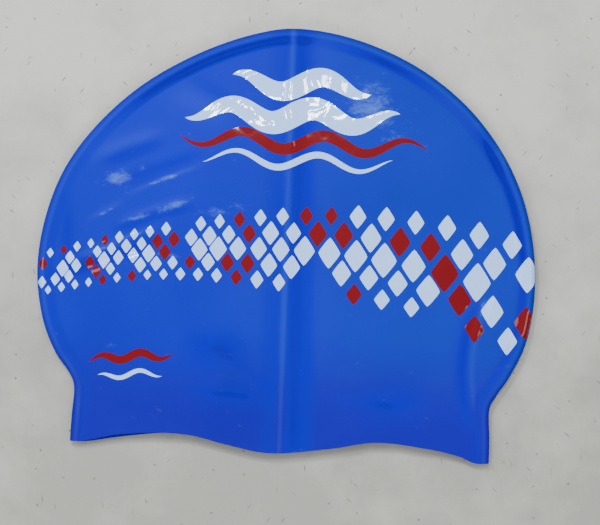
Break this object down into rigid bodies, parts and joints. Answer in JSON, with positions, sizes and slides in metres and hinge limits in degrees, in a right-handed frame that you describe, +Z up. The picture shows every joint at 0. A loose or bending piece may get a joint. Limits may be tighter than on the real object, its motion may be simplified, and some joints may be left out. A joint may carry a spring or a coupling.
{
  "type": "swim cap",
  "caption": "Adult silicone swim cap lying flat: one thin moulded shell with a rolled edge and an open wavy mouth.",
  "frame": {"origin": "middle of the cap's box on the surface that it lies on", "axes": "+X across the cap, +Y from the mouth to the crown, +Z up from the surface"},
  "size_m": [0.22, 0.188, 0.0104],
  "materials": {
    "silicone": "satin moulded silicone"
  },
  "bodies": {
    "root": {"cap_shell": "silicone"}
  },
  "joints": []
}
